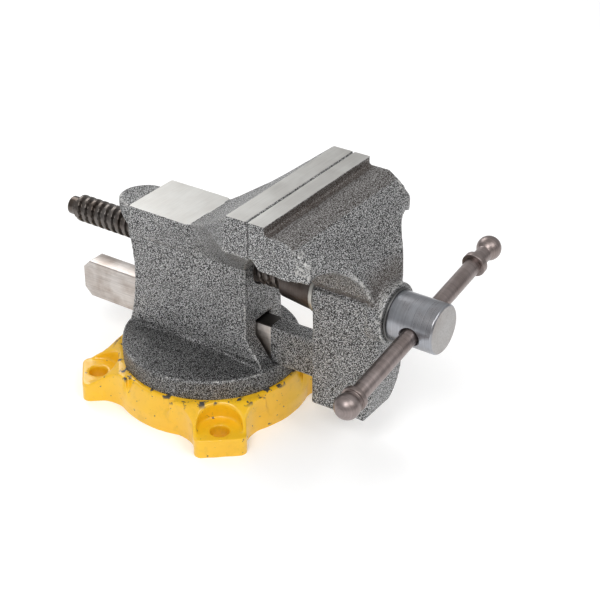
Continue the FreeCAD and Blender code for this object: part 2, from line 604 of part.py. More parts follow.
def short_knob():
    """The knob on the left: a ball with a narrow groove and a collar close behind it."""
    turned_about = "180 - handle_tilt"
    body = new_body("handle_knob_left", y="-jaw_setback - handle_y", z="screw_height", spin=turned_about)
    ball = "handle_half + knob_length - knob_radius"
    edge, groove = "short_half + short_collar", "short_half + short_collar + short_groove"
    bottom = "short_half + tenon_length + 0.2"
    path = [
        ("short_half", "knob_radius"), (edge, "knob_radius"), (edge, "knob_neck + 1"),
        (groove, "knob_neck + 1", f"{ball} + 0.5", "knob_radius"), (f"{ball} + knob_radius", "0"),
        (bottom, "0"), (bottom, "tenon_radius + pin_play"), ("short_half", "tenon_radius + pin_play"),
    ]
    turned(body, outline(body, "XZ_Plane", path), "H_Axis")
    return body


def swivel_bolt():
    """Hexagon bolt from below, which pulls the body down on the base."""
    body = new_body("swivel_bolt")
    corner = "bolt_head_flats / sqrt(3)"
    hexagon = [
        (corner, "0"), (f"{corner} / 2", "bolt_head_flats / 2"), (f"-{corner} / 2", "bolt_head_flats / 2"),
        (f"-{corner}", "0"), (f"-{corner} / 2", "-bolt_head_flats / 2"),
        (f"{corner} / 2", "-bolt_head_flats / 2"),
    ]
    pad(body, outline(body, "XY_Plane", hexagon, "bolt_head_low"), "bolt_head_high - bolt_head_low")
    pad(body, ring(body, "XY_Plane", "0", "0", "bolt_radius", "bolt_head_high"), "bolt_top - bolt_head_high")
    return body


def flat_ring(name, low, high, inner, outer):
    """A plain ring round the swivel axis."""
    body = new_body(name)
    section = [(inner, low), (outer, low), (outer, high), (inner, high)]
    turned(body, outline(body, "XZ_Plane", section), "V_Axis")
    return body


def lock_washer():
    """Split spring washer under the clamp plate."""
    inner, outer = "bolt_radius + washer_play", "bolt_radius + washer_width"
    body = flat_ring("swivel_lock_washer", "bolt_head_high", "plate_low", inner, outer)
    start, end = "bolt_radius - washer_split", "bolt_radius + 2 * washer_width"
    half = "washer_split / 2"
    gap = [(start, f"-{half}"), (end, f"-{half}"), (end, half), (start, half)]
    pocket(body, outline(body, "XY_Plane", gap), "4 * plate_low", both=True)
    return body


pieces = [
    swivel_base(), fixed_body(), moving_jaw(), lead_screw(), thrust_collar(), collar_pin(),
        spindle_nut(), nut_screw(),
    washer("head_washer", "-head_rear", "-boss_front", "shank_radius + shank_play", "head_radius + 1"),
    washer("rear_washer", "-rear_boss_end", "-collar_front", "shank_radius + shank_play", "washer_radius"),
    handle_bar(), short_knob(), long_knob(),
    swivel_bolt(), lock_washer(),
    flat_ring("swivel_clamp_plate", "plate_low", "web_underside", "bolt_radius + 0.5", "plate_radius"),
]
doc.recompute()

for item in doc.Objects:
    if set(item.State) & {"Invalid", "Error"}:
        raise ValueError(f"{item.Label} failed: {item.State}")
os.makedirs("parts", exist_ok=True)
for piece in pieces:
    shape = piece.Shape
    if shape.isNull() or not shape.isValid() or not shape.Solids:
        raise ValueError(f"{piece.Label} has no valid solid")
    box = shape.BoundBox
    spans = f"x {box.XMin:.1f} {box.XMax:.1f}  y {box.YMin:.1f} {box.YMax:.1f}"
    spans += f"  z {box.ZMin:.1f} {box.ZMax:.1f}"
    print(f"{piece.Label:20s} solids {len(shape.Solids)} volume {shape.Volume:9.0f}  {spans}")
    shape.exportStep(f"parts/{piece.Label}.step")
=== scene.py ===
"""Bench vise on a swivel base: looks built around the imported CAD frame.  Metres, +Z up, handle at -Y."""
import json
import math

import bmesh
import bpy
import numpy as np
from mathutils import Matrix, Vector


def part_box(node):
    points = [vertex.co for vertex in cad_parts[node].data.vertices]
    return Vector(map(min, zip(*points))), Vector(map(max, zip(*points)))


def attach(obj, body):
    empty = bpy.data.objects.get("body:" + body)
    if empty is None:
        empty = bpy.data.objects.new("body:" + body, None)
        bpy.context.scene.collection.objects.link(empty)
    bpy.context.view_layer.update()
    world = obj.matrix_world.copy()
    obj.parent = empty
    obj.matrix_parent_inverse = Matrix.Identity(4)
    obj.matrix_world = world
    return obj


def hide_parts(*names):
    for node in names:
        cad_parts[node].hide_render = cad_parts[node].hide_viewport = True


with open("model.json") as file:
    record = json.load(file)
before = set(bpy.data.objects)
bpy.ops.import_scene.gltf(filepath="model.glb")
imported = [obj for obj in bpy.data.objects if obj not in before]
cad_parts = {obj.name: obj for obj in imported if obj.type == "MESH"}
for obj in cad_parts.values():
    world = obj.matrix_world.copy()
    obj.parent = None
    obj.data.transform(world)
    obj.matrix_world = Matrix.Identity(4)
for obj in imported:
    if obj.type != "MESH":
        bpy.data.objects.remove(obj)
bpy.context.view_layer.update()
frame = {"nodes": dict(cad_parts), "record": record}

MM = 0.001

# Places read from the CAD frame.
body_low, body_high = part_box("fixed_body")
jaw_low, jaw_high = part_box("moving_jaw")
screw_low, screw_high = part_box("lead_screw")
base_low, base_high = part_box("swivel_base")
JAW = body_low.y                                  # plane where the closed jaws meet
JAW_TOP = body_high.z
HALF_WIDTH = jaw_high.x
SCREW_Z = (screw_low.z + screw_high.z) / 2
SEAM = base_high.z                                # joint between the base and the body's round foot
ANVIL_TOP = next(m["pos_m"][2] for m in frame["record"]["mounts"] if m["name"] == "anvil_face")
HANDLE_Y = sum(corner.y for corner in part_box("handle_bar")) / 2
HANDLE_TILT = math.radians(9.05)
PITCH = 5.08 * MM
JAW_GAP = 0.1 * MM                                # light between the closed jaws
ROOT_END = 17.0 * MM                              # end of the slide bar's painted root, from the jaw plane
BAR_LOW, BAR_HIGH, BAR_HALF = 33.0 * MM, 57.0 * MM, 6.0 * MM
CREASE_Z = 96.0 * MM                              # parting line between the slab and the scooped flank
HEAD_RADIUS = (screw_high.z - screw_low.z) / 2
SHANK_RADIUS = 9.0 * MM
AXIS_Y = (0, 1, 0)

VOXEL = 0.7 * MM      # spacing of the skin on the castings
EDGE_BREAK = 0.7 * MM                             # chamfer on the machined corners of the jaws
WELD = 0.002 * MM                                 # points of the CAD mesh nearer than this are one


# ---------------------------------------------------------------- node materials

class Surface:
    """One Principled material and the nodes that feed it."""

    def __init__(self, name, **sockets):
        self.material = bpy.data.materials.new(name)
        self.material.use_nodes = True
        self.tree = self.material.node_tree
        self.shader = self.tree.nodes["Principled BSDF"]
        for socket, value in sockets.items():
            self.shader.inputs[socket.replace("_", " ").title()].default_value = value
        self.place = self.tree.nodes.new("ShaderNodeTexCoord").outputs["Object"]

    def node(self, kind, inputs=None, **settings):
        made = self.tree.nodes.new("ShaderNode" + kind)
        for key, value in settings.items():
            setattr(made, key, value)
        for key, value in (inputs or {}).items():
            if isinstance(value, bpy.types.NodeSocket):
                self.tree.links.new(value, made.inputs[key])
            else:
                made.inputs[key].default_value = value
        return made

    def stretched(self, scale):
        return self.node("Mapping", {"Vector": self.place, "Scale": scale}).outputs[0]

    def noise(self, scale, detail=2.0, rough=0.5, vector=None):
        inputs = {"Vector": vector or self.place, "Scale": scale, "Detail": detail, "Roughness": rough}
        return self.node("TexNoise", inputs).outputs["Fac"]

    def ramp(self, fac, stops):
        """Colours or greys against a value; stops are (position, grey or (r, g, b))."""
        made = self.node("ValToRGB", {"Fac": fac})
        elements = made.color_ramp.elements
        while len(elements) < len(stops):
            elements.new(0.5)
        for element, (position, colour) in zip(elements, stops):
            element.position = position
            rgb = colour if isinstance(colour, tuple) else (colour,) * 3
            element.color = (*rgb, 1)
        return made.outputs["Color"]

    def mix(self, fac, a, b, blend="MIX"):
        made = self.node("MixRGB", {"Fac": fac, "Color1": a, "Color2": b}, blend_type=blend)
        return made.outputs["Color"]

    def math(self, operation, a, b=0.0):
        return self.node("Math", {0: a, 1: b}, operation=operation, use_clamp=True).outputs[0]

    def inside(self, ahead, above):
        """Rises to 1 towards the front of one place, above another."""
        parts = self.node("SeparateXYZ", {"Vector": self.place}).outputs
        before = self.math("MULTIPLY", self.math("SUBTRACT", ahead, parts["Y"]), 45.0)
        return self.math("MULTIPLY", before, self.math("GREATER_THAN", parts["Z"], above))

    def attribute(self, name):
        return self.node("Attribute", attribute_name=name).outputs["Fac"]

    def feed(self, **links):
        for socket, value in links.items():
            self.tree.links.new(value, self.shader.inputs[socket.replace("_", " ").title()])

    def bump(self, height, depth, strength=1.0):
        made = self.node("Bump", {"Height": height, "Distance": depth, "Strength": strength})
        self.tree.links.new(made.outputs[0], self.shader.inputs["Normal"])


# The black is painted shade, laid on the slide bar's top inside the slot.
# The brown is oil on the moving jaw's ledge and painted shade on its flank and wall.
OIL_AND_SHADE_BROWN, PAINTED_SHADE_BLACK = (0.085, 0.062, 0.048, 1), (0.06, 0.054, 0.05, 1)


def grey(value, tint=(1.0, 1.0, 1.0)):
    return (*(value * part for part in tint), 1)


def hammered_paint(name, dark, light, wear_and_highlight_colour=0.50, cell=0.62 * MM):
    """Hammer-finish enamel: light beads with dark outlines, rubbed bright along the edges, with painted
    highlights where they are marked, and darkened by oil and by painted shade.
    """
    surface = Surface(name, metallic=0.5, roughness=0.42)
    wander = {"Vector": surface.place, "Scale": 0.5 / cell, "Detail": 2.0}
    shift = surface.node("TexNoise", wander).outputs["Color"]
    bent = surface.mix(0.6 * MM, surface.place, shift, "ADD")
    cells = {"Vector": bent, "Scale": 1 / cell, "Smoothness": 0.25}
    beads = surface.node("TexVoronoi", cells, feature="SMOOTH_F1")
    fleck = surface.noise(1.25 / cell, 2.0, 0.6)
    rough_beads = surface.mix(0.50, beads.outputs["Distance"], fleck)
    middle = (light + dark) * 0.5
    grain = surface.ramp(rough_beads, [(0.33, light), (0.41, middle), (0.48, dark), (0.57, dark * 0.2)])
    cloud = surface.ramp(surface.noise(38.0, 3.0), [(0.3, 0.80), (0.7, 1.0)])
    paint = surface.mix(1.0, grain, cloud, "MULTIPLY")
    # Towards brown with the oil value: oil, and painted shade where it is marked.
    oiled_and_shaded = surface.mix(surface.attribute("oil"), paint, OIL_AND_SHADE_BROWN)
    broken = surface.ramp(surface.noise(520.0, 3.0, 0.65), [(0.46, 0.0), (0.58, 1.0)])
    patch = surface.ramp(surface.noise(55.0, 2.0, 0.5), [(0.42, 0.15), (0.60, 1.0)])
    # The edge value holds rubbed edges, and on the moving jaw also painted highlights.
    line = surface.ramp(surface.attribute("edge"), [(0.45, 0.0), (0.95, 1.0)])
    wear_and_highlight = surface.mix(1.0, surface.mix(1.0, line, patch, "MULTIPLY"), broken, "MULTIPLY")
    surface.feed(base_color=surface.mix(wear_and_highlight, oiled_and_shaded, grey(wear_and_highlight_colour, (1, 0.985, 0.95))))
    surface.feed(roughness=surface.ramp(rough_beads, [(0.3, 0.30), (0.6, 0.55)]))
    surface.bump(surface.ramp(rough_beads, [(0.2, 1.0), (0.62, 0.0)]), 0.16 * MM, 0.8)
    return surface.material


def yellow_paint():
    """Gloss enamel over cast iron: slightly uneven, chipped to dark iron here and there."""
    surface = Surface("base_yellow", roughness=0.30, coat_weight=0.35, coat_roughness=0.12)
    deep, clear = (0.84, 0.45, 0.008), (0.94, 0.56, 0.014)
    tone = surface.ramp(surface.noise(30.0, 3.0), [(0.3, deep), (0.7, clear)])
    grime = surface.ramp(surface.noise(160.0, 5.0, 0.7), [(0.30, 0.72), (0.48, 1.0)])
    paint = surface.mix(0.5, tone, grime, "MULTIPLY")
    spots = surface.ramp(surface.noise(260.0, 4.0, 0.6), [(0.66, 0.0), (0.69, 1.0)])
    rim = surface.ramp(surface.noise(190.0, 4.0, 0.6), [(0.54, 0.0), (0.58, 1.0)])
    near_seam = surface.ramp(surface.attribute("seam"), [(0.2, 0.0), (0.8, 1.0)])
    chipped_rim = surface.mix(1.0, near_seam, rim, "MULTIPLY")
    chips = surface.mix(1.0, spots, chipped_rim, "ADD")
    surface.feed(base_color=surface.mix(chips, paint, grey(0.06, (1, 0.9, 0.8))))
    surface.bump(surface.mix(0.25, surface.noise(90.0, 2.0), surface.noise(600.0, 2.0)), 0.10 * MM, 0.5)
    return surface.material


def worked_steel(name, colour, roughness, lines, stain=0.35, depth=0.02 * MM, vary=0.22, shade=None):
    """Machined steel.  lines stretches the tool marks: a small number along the direction of cutting.
    shade names where painted shade darkens it: ahead of one place and above another."""
    surface = Surface(name, metallic=1.0, roughness=roughness)
    marks = surface.noise(1.0, 3.0, 0.6, surface.stretched(lines))
    cloud = surface.noise(70.0, 4.0, 0.6)
    tones = [tuple(min(c * level, 1.0) for c in colour) for level in (1 - vary, 1 + vary / 2)]
    tone = surface.ramp(marks, [(0.3, tones[0]), (0.7, tones[1])])
    oil = surface.ramp(cloud, [(0.35, tuple(1 - stain * k for k in (0.85, 1.0, 1.1))), (0.62, 1.0)])
    tinted = surface.mix(1.0, tone, oil, "MULTIPLY")
    # Painted shade: the steel goes towards black ahead of one place and above another.
    if shade:
        tinted = surface.mix(surface.inside(*shade), tinted, PAINTED_SHADE_BLACK)
    surface.feed(base_color=tinted)
    dull = surface.mix(0.5, marks, cloud)
    surface.feed(roughness=surface.ramp(dull, [(0.3, roughness * 0.8), (0.7, roughness * 1.25)]))
    surface.bump(marks, depth, 0.6)
    return surface.material


def turned_steel(name, colour, roughness, stain=0.35, spacing=0.35 * MM, axis="Y"):
    """Steel turned on a lathe: fine rings round the axis."""
    fine, coarse = 1 / spacing, 25.0
    lines = tuple(fine if letter == axis else coarse for letter in "XYZ")
    return worked_steel(name, colour, roughness, lines, stain)


def cast_iron(name, value):
    surface = Surface(name, metallic=0.7, roughness=0.6)
    tone = surface.ramp(surface.noise(300.0, 4.0, 0.7), [(0.3, value * 0.6), (0.7, value)])
    surface.feed(base_color=tone)
    surface.bump(surface.noise(900.0, 3.0), 0.08 * MM, 0.6)
    return surface.material


PAINT = hammered_paint("hammered_grey", 0.185, 0.82)
PAINT_FOOT = hammered_paint("hammered_grey_foot", 0.10, 0.50)
YELLOW = yellow_paint()
MILLED = worked_steel("milled_steel", (0.66, 0.655, 0.63), 0.40, (60.0, 1500.0, 60.0), stain=0.08,
                      depth=0.006 * MM, vary=0.08)
# The slide bar's steel carries painted shade on its top inside the slot.
BAR_STEEL = worked_steel("bar_steel", (0.60, 0.56, 0.53), 0.36, (1600.0, 45.0, 1600.0), stain=0.38,
                         shade=(12 * MM, BAR_HIGH - 0.6 * MM))
HEAD_STEEL = turned_steel("head_steel", (0.40, 0.415, 0.45), 0.30, 0.25)
FACE_STEEL = worked_steel("head_face_steel", (0.43, 0.42, 0.415), 0.44, (900.0, 60.0, 900.0), 0.2)
SCREW_STEEL = turned_steel("oily_screw_steel", (0.17, 0.155, 0.145), 0.33, 0.5)
COLLAR_STEEL = turned_steel("oily_collar_steel", (0.115, 0.098, 0.09), 0.38, 0.5)
HANDLE_STEEL = turned_steel("handle_steel", (0.31, 0.265, 0.255), 0.38, 0.2, 0.5 * MM, "X")
WASHER_STEEL = turned_steel("washer_steel", (0.56, 0.56, 0.53), 0.40, 0.3)
DARK_WASHER = turned_steel("dark_washer_steel", (0.16, 0.16, 0.16), 0.42, 0.3)
FASTENER_STEEL = worked_steel("fastener_steel", (0.50, 0.50, 0.49), 0.38, (700.0, 700.0, 120.0), 0.25)
NUT_IRON = cast_iron("nut_iron", 0.30)


# ---------------------------------------------------------------- mesh helpers

def new_object(name, mesh, *materials):
    piece = bpy.data.objects.new(name, mesh)
    bpy.context.scene.collection.objects.link(piece)
    mesh.materials.clear()
    for material in materials:
        mesh.materials.append(material)
    return piece


def settle(piece):
    """The piece's mesh with its modifiers worked in."""
    bpy.context.view_layer.update()
    evaluated = piece.evaluated_get(bpy.context.evaluated_depsgraph_get())
    mesh = bpy.data.meshes.new_from_object(evaluated)
    piece.modifiers.clear()
    piece.data = mesh
    return mesh


def crisp(mesh, angle=35):
    mesh.shade_smooth()
    mesh.set_sharp_from_angle(angle=math.radians(angle))


def points(mesh):
    co = np.zeros(len(mesh.vertices) * 3)
    mesh.vertices.foreach_get("co", co)
    return co.reshape(-1, 3)


def put_points(mesh, co):
    mesh.vertices.foreach_set("co", co.ravel())
    mesh.update()


def mark(mesh, name, values):
    """Stores one number at each point, for the materials to read."""
    layer = mesh.attributes.get(name) or mesh.attributes.new(name, "FLOAT", "POINT")
    layer.data.foreach_set("value", values.astype(np.float32))


def off_axis(co):
    """Distance from the swivel axis."""
    return np.hypot(co[:, 0], co[:, 1])


def climb(values, start, stop):
    """From 0 at start to 1 at stop."""
    return np.clip((values - start) / (stop - start), 0, 1)


def neighbour_mean(co, edges, count):
    """The mean of each point's neighbours."""
    total = np.empty_like(co)
    for axis in range(co.shape[1]):
        total[:, axis] = (np.bincount(edges[:, 0], co[edges[:, 1], axis], len(co))
                          + np.bincount(edges[:, 1], co[edges[:, 0], axis], len(co)))
    return total / count[:, None]


def links_of(mesh):
    edges = np.zeros(len(mesh.edges) * 2, np.int64)
    mesh.edges.foreach_get("vertices", edges)
    edges = edges.reshape(-1, 2)
    count = np.maximum(np.bincount(edges.ravel(), minlength=len(mesh.vertices)), 1)
    return edges, count


def relax(co, edges, count, rounds, weight=None):
    """Draws points towards their neighbours, which rounds the edges as a casting's are."""
    for _ in range(rounds):
        step = (neighbour_mean(co, edges, count) - co) * 0.5
        co = co + (step if weight is None else step * weight[:, None])
    return co


def convexity(co, edges, count, normals):
    """How sharply the surface turns outwards at each point, from 0 to 1."""
    bend = -((neighbour_mean(co, edges, count) - co) * normals).sum(1) / VOXEL
    edge = np.clip(bend * 9, 0, 1)[:, None]
    for _ in range(2):
        edge = 0.5 * edge + 0.5 * neighbour_mean(edge, edges, count)
    return np.clip(edge[:, 0] * 1.6, 0, 1)


def ripple(co, seed, lengths, amount):
    """A slow unevenness of a sand-cast surface, as a sum of waves in seeded directions."""
    draw = np.random.default_rng(seed)
    total = np.zeros(len(co))
    for length in lengths:
        for _ in range(4):
            direction = draw.normal(size=3)
            direction /= np.linalg.norm(direction)
            total += np.sin(co @ direction * (2 * math.pi / length) + draw.uniform(0, 2 * math.pi))
    return total * amount / (4 * len(lengths)) ** 0.5


class Plane:
    """A machined flat on a casting: axis 0..2, its place, which way it faces, and where it applies."""

    def __init__(self, axis, place, facing, where=lambda co: np.ones(len(co), bool), height=2.0 * MM):
        self.axis, self.place, self.facing, self.where, self.height = axis, place, facing, where, height

    def lift(self, co):
        on = (np.abs(co[:, self.axis] - self.place) < 0.02 * MM) & self.where(co)
        co[on, self.axis] += self.facing * self.height

    def beyond(self, co):
        return ((co[:, self.axis] - self.place) * self.facing > 0) & self.where(co)


def chamfer(co, one, two, width):
    """Breaks the edge where two flats meet."""
    inside = [(plane.place - co[:, plane.axis]) * plane.facing for plane in (one, two)]
    short = width - inside[0] - inside[1]
    near = (short > 0) & (inside[0] >= 0) & (inside[1] >= 0)
    for plane in (one, two):
        co[near, plane.axis] -= plane.facing * short[near] / 2


def casting(node, name, planes, rounds, seed, soften=None, melt=None, chamfers=(),
            materials=(PAINT, MILLED)):
    """One even skin over a CAD casting: rounded edges, slight unevenness and crisp machined flats.
    soften weights a region to smooth between its edges, and melt one to round edges and all."""
    mesh = frame["nodes"][node].data.copy()
    for layer in [a.name for a in mesh.attributes if a.name == "custom_normal"]:
        mesh.attributes.remove(mesh.attributes[layer])
    shell = bmesh.new()
    shell.from_mesh(mesh)
    bmesh.ops.remove_doubles(shell, verts=shell.verts, dist=WELD)
    shell.to_mesh(mesh)
    shell.free()
    co = points(mesh)
    for plane in planes:
        plane.lift(co)
    put_points(mesh, co)
    piece = new_object(name, mesh, *materials)
    skin = piece.modifiers.new("skin", "REMESH")
    skin.mode = "VOXEL"
    skin.voxel_size = VOXEL
    mesh = settle(piece)
    edges, count = links_of(mesh)
    co = relax(points(mesh), edges, count, rounds)
    put_points(mesh, co)
    normals = np.zeros(len(mesh.vertices) * 3)
    mesh.vertices.foreach_get("normal", normals)
    normals = normals.reshape(-1, 3)
    edge = convexity(co, edges, count, normals)
    if soften:
        weight = soften(co) * (1 - np.clip(edge * 3, 0, 1))
        co = relax(co, edges, count, 60, weight)
    if melt:
        co = relax(co, edges, count, 30, melt(co))
    co += normals * ripple(co, seed, (9 * MM, 17 * MM, 31 * MM), 0.09 * MM)[:, None]
    for plane in planes:
        co[plane.beyond(co), plane.axis] = plane.place
    for one, two, width in chamfers:
        chamfer(co, one, two, width)
    put_points(mesh, co)
    mark(mesh, "edge", edge)
    return piece


def tidy_skin(piece, flats=()):
    """Drops the slivers that a machined flat leaves, and gives each flat its own steel."""
    skin = bmesh.new()
    skin.from_mesh(piece.data)
    bmesh.ops.remove_doubles(skin, verts=skin.verts, dist=0.05 * MM)
    bmesh.ops.dissolve_degenerate(skin, edges=skin.edges, dist=0.03 * MM)
    for face in skin.faces:
        middle = face.calc_center_median()
        for plane in flats:
            level = abs(middle[plane.axis] - plane.place) < 0.04 * MM
            if level and face.normal[plane.axis] * plane.facing > 0.9:
                face.material_index = 1
        face.smooth = True
    skin.to_mesh(piece.data)
    skin.free()
    crisp(piece.data, 42)


def fillet(profile, radius, steps=3):
    """The same open profile with each inner corner rounded."""
    done = [Vector(profile[0])]
    for before, corner, after in zip(profile, profile[1:], profile[2:]):
        before, corner, after = Vector(before), Vector(corner), Vector(after)
        one, two = before - corner, after - corner
        reach = min(radius, one.length * 0.45, two.length * 0.45)
        if reach < 1e-6:
            done.append(corner)
            continue
        start, stop = corner + one.normalized() * reach, corner + two.normalized() * reach
        for step in range(steps + 1):
            t = step / steps
            done.append(start * (1 - t) ** 2 + corner * 2 * t * (1 - t) + stop * t ** 2)
    done.append(Vector(profile[-1]))
    return done


def lathe(name, profile, origin, axis, *materials, segments=96, ring=False, radius=0.35 * MM):
    """A turned piece from (along, radius) points.  ring closes the profile on itself, as a washer's is."""
    if ring:
        middle = tuple((Vector(profile[0]) + Vector(profile[-1])) / 2)
        outline = fillet([middle, *profile, middle], radius)[:-1]
    else:
        outline = fillet(profile, radius)
    axis = Vector(axis).normalized()
    side = axis.cross(Vector((0, 0, 1)) if abs(axis.z) < 0.9 else Vector((1, 0, 0))).normalized()
    other = axis.cross(side)
    shell = bmesh.new()
    rows = []
    step = 2 * math.pi / segments
    spokes = [side * math.cos(step * k) + other * math.sin(step * k) for k in range(segments)]
    for along, reach in outline:
        turns = spokes[:1] if reach < 1e-7 else spokes
        rows.append([shell.verts.new(Vector(origin) + axis * along + spoke * reach) for spoke in turns])
    pairs = list(zip(rows, rows[1:])) + ([(rows[-1], rows[0])] if ring else [])
    for one, two in pairs:
        for k in range(segments):
            following = k + 1
            corners = [one[k % len(one)], one[following % len(one)],
                       two[following % len(two)], two[k % len(two)]]
            corners = [v for i, v in enumerate(corners) if v not in corners[:i]]
            if len(corners) > 2:
                shell.faces.new(corners)
    bmesh.ops.recalc_face_normals(shell, faces=shell.faces)
    mesh = bpy.data.meshes.new(name)
    shell.to_mesh(mesh)
    shell.free()
    crisp(mesh, 40)
    return new_object(name, mesh, *materials)


def carve(piece, cutter):
    """Takes the cutter's shape out of the piece and removes the cutter."""
    cut = piece.modifiers.new("cut", "BOOLEAN")
    cut.object = cutter
    cut.operation = "DIFFERENCE"
    cut.solver = "EXACT"
    settle(piece)
    bpy.data.objects.remove(cutter)


def place(piece, body, slot, *nodes):
    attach(piece, body)
    if nodes:
        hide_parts(*nodes)
    return piece


# ---------------------------------------------------------------- castings

JAW_LOW = 100 * MM                                # everything at the jaw plane above this is a jaw
SPIGOT_RADIUS = 20 * MM                           # the body's seat under the swivel axis lies within this
FOOT_HEIGHT = 17 * MM

def jaw_planes(face_y, facing, reach):
    """The machined top, face and two ends of a jaw, and the corners to break."""
    def on_jaw(co):
        return co[:, 2] > JAW_LOW

    def on_end(co):
        return on_jaw(co) & ((co[:, 1] - face_y) * -facing < reach)

    top = Plane(2, JAW_TOP, 1)
    face = Plane(1, face_y, facing, on_jaw)
    ends = [Plane(0, side * HALF_WIDTH, side, on_end, 0.8 * MM) for side in (-1, 1)]
    return top, face, ends, [(flat, face, EDGE_BREAK) for flat in (top, *ends)]


def fixed_casting():
    """Rear casting: fixed jaw, anvil, tail, column and round foot."""
    top, face, ends, corners = jaw_planes(JAW, -1, 20 * MM)
    anvil_front, anvil_rear, anvil_half = -1 * MM, 42 * MM, 21 * MM
    anvil = Plane(2, ANVIL_TOP, 1, lambda co: (co[:, 1] > anvil_front) & (co[:, 1] < anvil_rear)
                  & (np.abs(co[:, 0]) < anvil_half))
    foot = Plane(2, SEAM, -1, lambda co: off_axis(co) > SPIGOT_RADIUS)
    piece = casting("fixed_body", "fixed_jaw_casting", [top, face, anvil, foot, *ends], 4, 11,
                    chamfers=corners, materials=(PAINT, MILLED, PAINT_FOOT))
    tidy_skin(piece, [top, anvil])
    for polygon in piece.data.polygons:
        on_foot = polygon.center.z < SEAM + FOOT_HEIGHT and math.hypot(*polygon.center.xy) > SPIGOT_RADIUS
        if polygon.material_index == 0 and on_foot:
            polygon.material_index = 2
    return place(piece, "rear_body", "hammered_paint", "fixed_body")


def hood_region(co):
    """The round front of the hood, which is smooth between its edges."""
    off_boss = np.hypot(co[:, 0], co[:, 2] - SCREW_Z) > 20 * MM
    low, high = CREASE_Z + 1.5 * MM, JAW_TOP - 11 * MM
    return (off_boss & (co[:, 1] < JAW - 31 * MM) & (co[:, 2] > low) & (co[:, 2] < high)).astype(float)


def horn_region(co):
    """The rounded tips at the two ends of the hood."""
    tips = climb(np.abs(co[:, 0]), 40 * MM, 46 * MM)
    return tips * (co[:, 1] < JAW - 31 * MM) * (co[:, 2] < JAW_TOP - 12 * MM)


def oil_and_shade_on_jaw(co):
    """Where the paint is darkened: painted shade on the scooped flank under the hood and on the wall under
    the jaw top, and old oil and dirt on its ledge.
    """
    ahead, wide, drop = JAW - co[:, 1], np.abs(co[:, 0]), JAW_TOP - co[:, 2]
    # Painted shade with a brown tint on the scooped flank under the hood.
    flank = climb(co[:, 2], CREASE_Z + 0.5 * MM, CREASE_Z + 2 * MM) * climb(co[:, 2], 118 * MM, 108 * MM)
    flank *= climb(ahead, 60 * MM, 52 * MM) * (ahead > 3 * MM) * climb(wide, 20 * MM, 14 * MM) * 0.6
    behind = (ahead > 3 * MM) & (wide < HALF_WIDTH - 0.5 * MM)
    # Painted shade on the wall under the jaw top; the ledge below it is oil.
    wall = behind & (drop > 0.5 * MM) & (drop < 5.2 * MM) & (ahead < 14 * MM)
    ledge = behind & (drop > 4.2 * MM) & (drop < 9 * MM) & (ahead < 28.5 * MM)
    return np.maximum(flank, np.where(wall, 0.62, np.where(ledge, 0.34, 0.0)))


def wear_and_highlights_on_jaw(co):
    """Where the paint is made bright, as rubbed paint and painted highlight: the slab's crease, the hood's
    tips, the ledge's ends, the boss's rim.
    """
    ahead, wide, drop = JAW - co[:, 1], np.abs(co[:, 0]), JAW_TOP - co[:, 2]
    # Rubbed paint and painted highlights on these spots.
    above_crease = np.abs(co[:, 2] - CREASE_Z - 0.3 * MM)
    crease = (above_crease < 0.9 * MM) & (wide > 13 * MM) & (ahead > 17 * MM) & (ahead < 51 * MM)
    tips = (wide > 45.5 * MM) & (ahead > 29.5 * MM) & (co[:, 2] > 126 * MM)
    ledge_end = (wide > HALF_WIDTH - 1.2 * MM) & (wide <= HALF_WIDTH - 0.5 * MM)
    ledge_end &= (ahead > 10 * MM) & (drop > 4.3 * MM) & (drop < 9.5 * MM)
    from_screw = np.hypot(co[:, 0], co[:, 2] - SCREW_Z)
    rim = (np.abs(from_screw - 17.3 * MM) < 0.7 * MM) & (ahead > 57 * MM) & (co[:, 2] > SCREW_Z)
    return np.where(crease, 1.0, np.where(tips | ledge_end, 0.92, np.where(rim, 0.9, 0.0)))


def moving_casting():
    """Front casting: moving jaw, hood, boss, slab and the painted root of the slide bar."""
    top, face, ends, corners = jaw_planes(JAW - JAW_GAP, 1, 30 * MM - JAW_GAP)
    piece = casting("moving_jaw", "moving_jaw_casting", [top, face, *ends], 4, 12,
                    hood_region, horn_region, corners)
    co = points(piece.data)
    # The oil value holds oil on the ledge and painted shade on the flank and the wall.
    mark(piece.data, "oil", oil_and_shade_on_jaw(co))
    rounded = np.zeros(len(co), np.float32)
    piece.data.attributes["edge"].data.foreach_get("value", rounded)
    # The edge value also carries painted highlights on the crease, the hood's tips, the ledge's ends and
    # the boss's rim.
    mark(piece.data, "edge", np.maximum(rounded, wear_and_highlights_on_jaw(co)))
    skin = bmesh.new()
    skin.from_mesh(piece.data)
    cut = bmesh.ops.bisect_plane(skin, geom=skin.verts[:] + skin.edges[:] + skin.faces[:], dist=1e-7,
                                 plane_co=(0, JAW + ROOT_END, 0), plane_no=(0, 1, 0), clear_outer=True)
    rim = [e for e in cut["geom_cut"] if isinstance(e, bmesh.types.BMEdge)]
    bmesh.ops.holes_fill(skin, edges=rim)
    skin.to_mesh(piece.data)
    skin.free()
    tidy_skin(piece, [top])
    return place(piece, "front_jaw", "hammered_paint", "moving_jaw")


